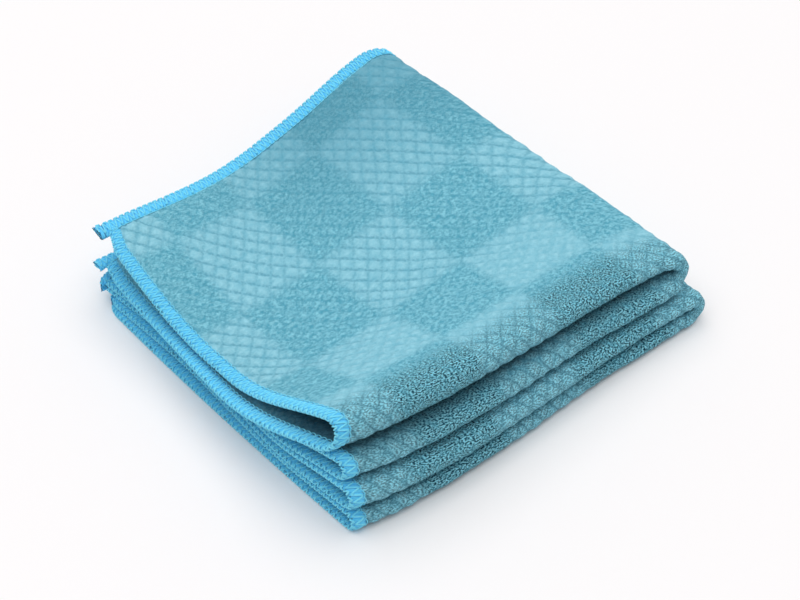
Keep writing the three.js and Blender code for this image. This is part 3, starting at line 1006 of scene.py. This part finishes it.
# The towels
def make_left_edging(towel_name, half, material):
    sign = 1 if half == "upper" else -1

    def left_edge(points):
        t, d, n = points.T
        along = sign * (t - LEFT_EDGING_LENGTH / 2)
        inset = edge_inset(towel_name, sign, along)
        s, v = round_corners(towel_name, sign * (HALF_SIDE - d - inset), along)
        return np.stack([s, v, n], -1)

    return make_edging(
        f"{towel_name}_{half}_left_overlock", towel_name, LEFT_EDGING_LENGTH, left_edge, material,
        [f"{towel_name}_{half}_left_edging"], body=f"{towel_name}_{half}_half",
    )


def make_back_edging(towel_name, layer, material):
    sign = 1 if layer == "outer" else -1
    upper_tail, lower_tail = TAILS[towel_name]
    length = 2 * HALF_SIDE + upper_tail + lower_tail
    start = HALF_SIDE + (upper_tail if layer == "outer" else lower_tail)
    is_uppermost = towel_name == "top" and layer == "outer"

    def back_edge(points):
        t, d, n = points.T
        along = sign * (start - t)
        share = tail_width(towel_name, along)
        full = ease(along / FULL_EDGING_START) if is_uppermost else 0.0
        d = mix(HEM_WIDTH / 2, d, share) * mix(1.0, FULL_EDGING_WIDTH, full)
        d = d + back_inset(towel_name, along, sign)
        n = n * share * mix(1.0, FULL_EDGING_HEIGHT, full)
        s, v = round_corners(towel_name, along, sign * (HALF_SIDE - d))
        return np.stack([s, v, n], -1)

    return make_edging(
        f"{towel_name}_{layer}_back_overlock", towel_name, length, back_edge, material,
        [f"{towel_name}_upper_{layer}_back_edging", f"{towel_name}_lower_{layer}_back_edging"],
    )


def make_towel(towel_name, s_lines, v_lines, cloth_look, edging_look):
    """The cloth of one towel, and its four edgings."""
    cloth = make_cloth(towel_name, s_lines, v_lines, cloth_look)
    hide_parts(f"{towel_name}_upper_cloth", f"{towel_name}_lower_cloth")
    edgings = [make_left_edging(towel_name, half, edging_look) for half in ("upper", "lower")]
    edgings += [make_back_edging(towel_name, layer, edging_look) for layer in ("outer", "inner")]
    return cloth, edgings


cloth_look = cloth_material()
edging_look = edging_material()
top_s = stations([(-CLOTH_EDGE, 0, COVERED_STEP), (0, CLOTH_EDGE, SHOWN_STEP)])
top_v = stations([
    (-CLOTH_EDGE, -SHOWN_PAST_FOLD, COVERED_STEP),
    (-SHOWN_PAST_FOLD, CLOTH_EDGE, SHOWN_STEP),
])
bottom_s = stations([(-CLOTH_EDGE, 0, COVERED_STEP), (0, CLOTH_EDGE, COVERED_STEP)])
bottom_v = stations([
    (-CLOTH_EDGE, -UNDER_FOLD_REACH, UNDER_STEP),
    (-UNDER_FOLD_REACH, UNDER_FOLD_REACH, UNDER_FOLD_STEP),
    (UNDER_FOLD_REACH, CLOTH_EDGE, UNDER_STEP),
])
top_cloth, top_edgings = make_towel("top", top_s, top_v, cloth_look, edging_look)
bottom_cloth, bottom_edgings = make_towel("bottom", bottom_s, bottom_v, cloth_look, edging_look)

# Stage, camera and light: metres, degrees and watts, with the lens and its sensor in millimetres
FLOOR_COLOUR = (0.985, 0.962, 0.968)
FLOOR_ROUGHNESS = 0.7
FLOOR_REACH = 6.0
CAMERA_AZIMUTH = -41.97
CAMERA_ELEVATION = 44.0
CAMERA_DISTANCE = 0.604
CAMERA_TARGET = Vector((-0.00382, -0.01655, 0.015))
CAMERA_LENS = 78.98
CAMERA_SENSOR = 36.0
CAMERA_CLIP = 0.01
SKY_STRENGTH = 0.4
OVERHEAD_PLACE = (0.0, 0.35, 3.6)
OVERHEAD_SIZE = 6.0
OVERHEAD_POWER = 136.0


def make_floor():
    material = bpy.data.materials.new("pale_floor")
    material.use_nodes = True
    shader = material.node_tree.nodes["Principled BSDF"]
    shader.inputs["Base Color"].default_value = (*FLOOR_COLOUR, 1)
    shader.inputs["Roughness"].default_value = FLOOR_ROUGHNESS
    mesh = bpy.data.meshes.new("floor")
    corners = [(x * FLOOR_REACH, y * FLOOR_REACH, 0) for x, y in ((-1, -1), (1, -1), (1, 1), (-1, 1))]
    mesh.from_pydata(corners, [], [(0, 1, 2, 3)])
    mesh.materials.append(material)
    floor = bpy.data.objects.new("floor", mesh)
    bpy.context.scene.collection.objects.link(floor)


def aim(thing, target):
    thing.rotation_euler = (Vector(target) - thing.location).to_track_quat("-Z", "Y").to_euler()


def make_camera():
    azimuth = math.radians(CAMERA_AZIMUTH)
    elevation = math.radians(CAMERA_ELEVATION)
    level = math.cos(elevation)
    back = Vector((math.sin(azimuth) * level, -math.cos(azimuth) * level, math.sin(elevation)))
    data = bpy.data.cameras.new("camera")
    data.sensor_width = CAMERA_SENSOR
    data.sensor_fit = "HORIZONTAL"
    data.lens = CAMERA_LENS
    data.clip_start = CAMERA_CLIP
    camera = bpy.data.objects.new("camera", data)
    camera.location = CAMERA_TARGET + back * CAMERA_DISTANCE
    bpy.context.scene.collection.objects.link(camera)
    aim(camera, CAMERA_TARGET)
    bpy.context.scene.camera = camera


def make_overhead_light():
    data = bpy.data.lights.new("overhead", "AREA")
    data.shape = "DISK"
    data.size = OVERHEAD_SIZE
    data.energy = OVERHEAD_POWER
    lamp = bpy.data.objects.new("overhead", data)
    lamp.location = OVERHEAD_PLACE
    bpy.context.scene.collection.objects.link(lamp)
    aim(lamp, (0, 0, 0))


def make_sky():
    world = bpy.data.worlds.new("studio")
    world.use_nodes = True
    background = world.node_tree.nodes["Background"]
    background.inputs["Color"].default_value = (1, 1, 1, 1)
    background.inputs["Strength"].default_value = SKY_STRENGTH
    bpy.context.scene.world = world


make_floor()
make_camera()
make_sky()
make_overhead_light()
bpy.context.scene.view_settings.view_transform = "Standard"
